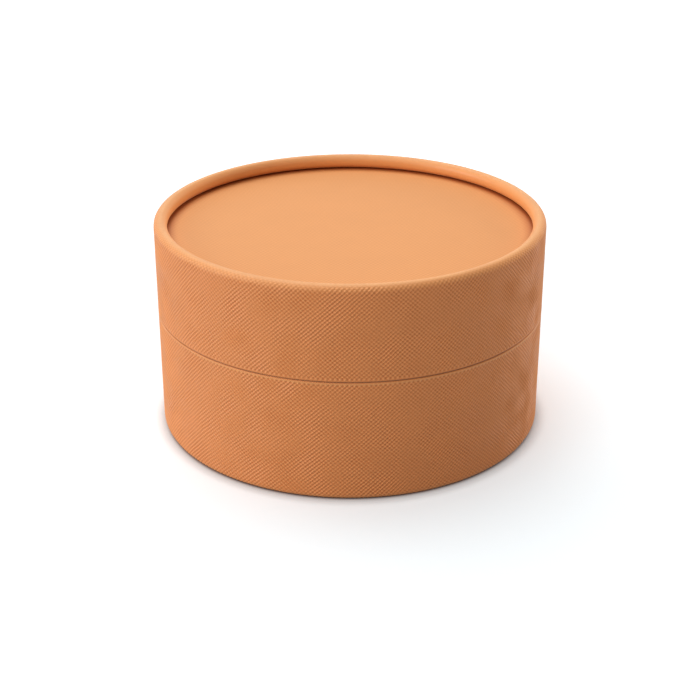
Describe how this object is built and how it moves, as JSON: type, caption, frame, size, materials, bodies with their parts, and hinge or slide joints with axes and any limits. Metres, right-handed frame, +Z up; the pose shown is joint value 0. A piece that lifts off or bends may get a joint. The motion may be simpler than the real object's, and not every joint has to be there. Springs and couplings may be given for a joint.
{
  "type": "cylindrical gift tube box",
  "caption": "Short round gift box of paper-covered board tube: a lid with a rolled rim and a recessed top lifts off and turns on a neck that stands in the base.",
  "frame": {"origin": "centre of the foot, on the surface the box stands on", "axes": "+Z up along the box's axis, from the foot to the rolled rim of the lid; the paper's glued lap is at +Y, the back"},
  "size_m": [0.1, 0.1, 0.0556],
  "materials": {
    "embossed_paper": "matte",
    "panel_paper": "matte",
    "tube_board": "matte",
    "disc_board": "matte",
    "liner_card": "matte",
    "inner_paper": "matte"
  },
  "bodies": {
    "base": {"base_tube": "tube_board", "base_wrap": "embossed_paper", "base_disc": "disc_board", "base_disc_cover": "panel_paper", "base_floor_paper": "inner_paper", "base_liner": "liner_card", "neck_tube": "tube_board", "neck_facing": "inner_paper", "neck_lining": "inner_paper"},
    "lid_sleeve": {"lid_liner": "liner_card"},
    "lid": {"lid_tube": "tube_board", "lid_wrap": "embossed_paper", "lid_disc": "disc_board", "lid_disc_cover": "panel_paper", "lid_ceiling_paper": "inner_paper"}
  },
  "joints": [
    {"name": "lid_lift", "type": "slide", "parent": "base", "child": "lid_sleeve", "axis": [0, 0, 1], "range_m": [0, 0.1]},
    {"name": "lid_turn", "type": "hinge", "parent": "lid_sleeve", "child": "lid", "pos_m": [0, 0, 0.0314], "axis": [0, 0, 1], "continuous": true}
  ]
}
